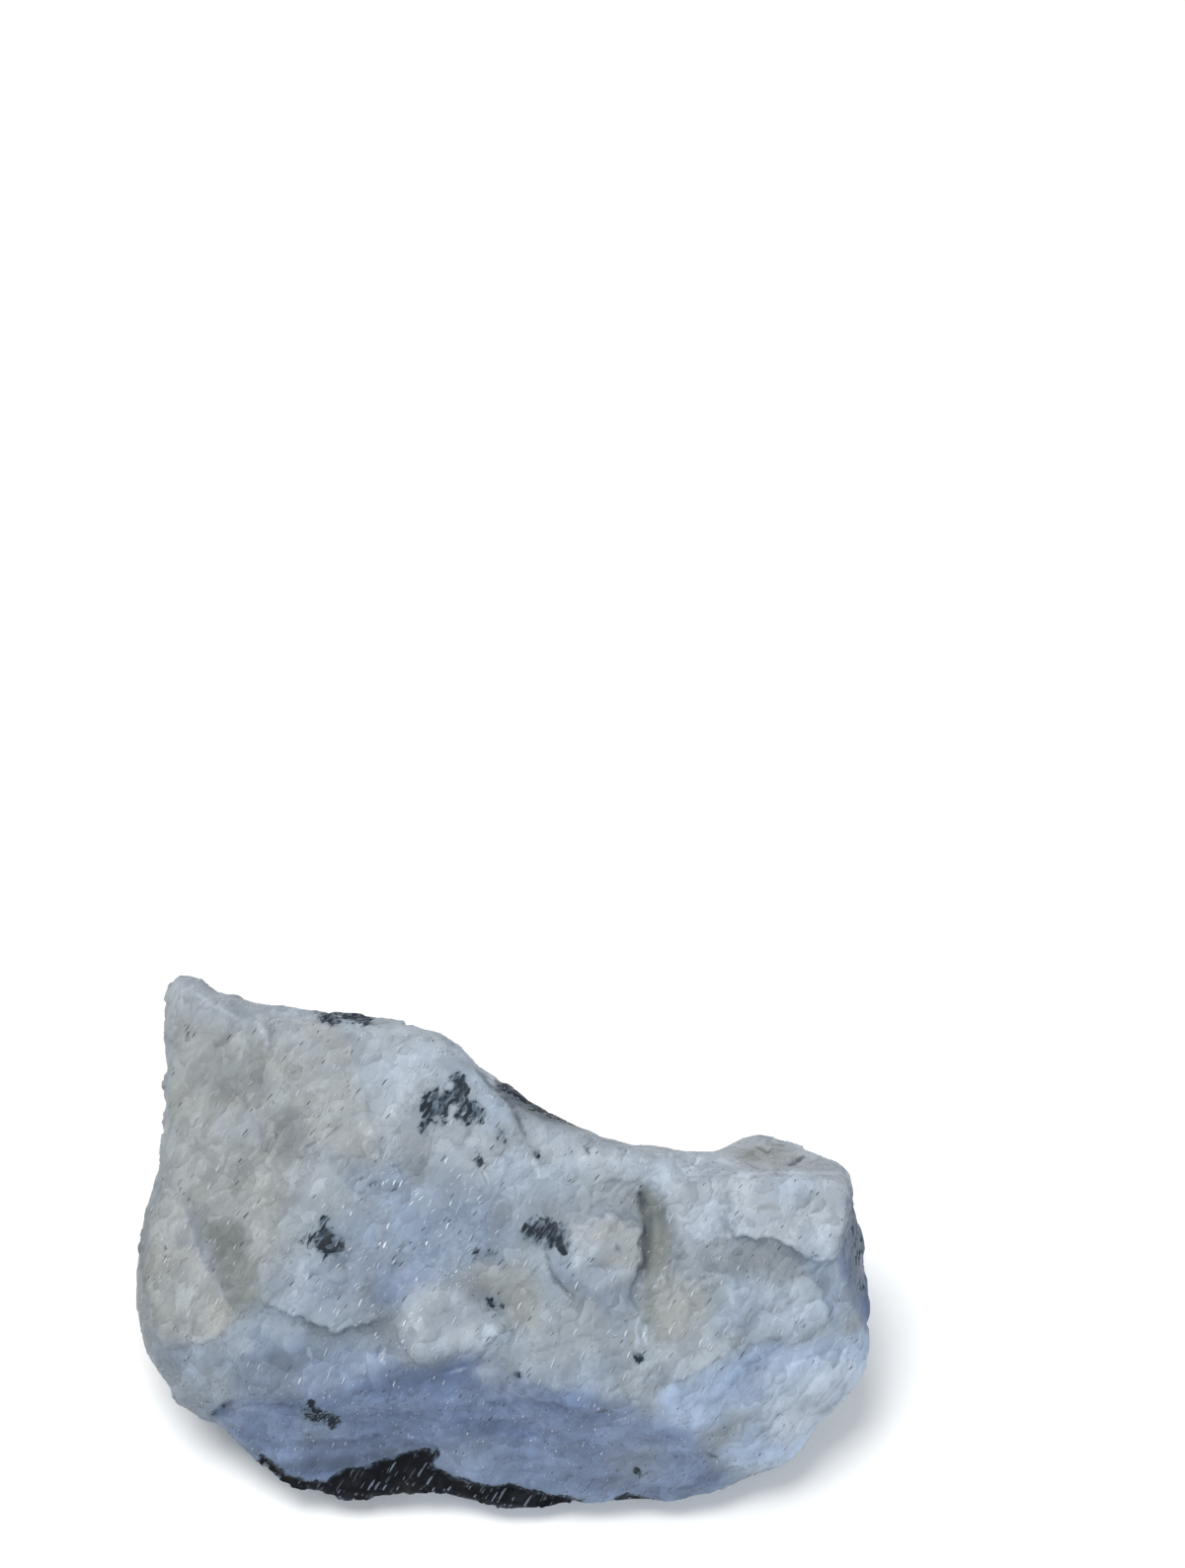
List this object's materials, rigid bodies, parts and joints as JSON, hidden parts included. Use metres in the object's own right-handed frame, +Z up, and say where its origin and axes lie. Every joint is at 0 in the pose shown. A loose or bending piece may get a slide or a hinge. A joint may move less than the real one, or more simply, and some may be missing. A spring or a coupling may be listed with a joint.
{
  "type": "rough moonstone",
  "caption": "Rough chunk of bluish white feldspar with broken faces, ledges and dark mineral spots, lying on a small flat spot.",
  "frame": {"origin": "in the plane that the stone rests on, under the middle of its bounding box", "axes": "+X along the stone's length, towards the end with the raised plate; +Z up, out of the surface it rests on; -Y towards the low blue-grey broken wall, the side the picture is taken from"},
  "size_m": [0.0622, 0.043, 0.0243],
  "materials": {
    "feldspar": "broken feldspar with a soft, waxy gloss, clouded white to bluish grey, with patches of black-green mineral"
  },
  "bodies": {
    "root": {"moonstone": "feldspar"}
  },
  "joints": []
}
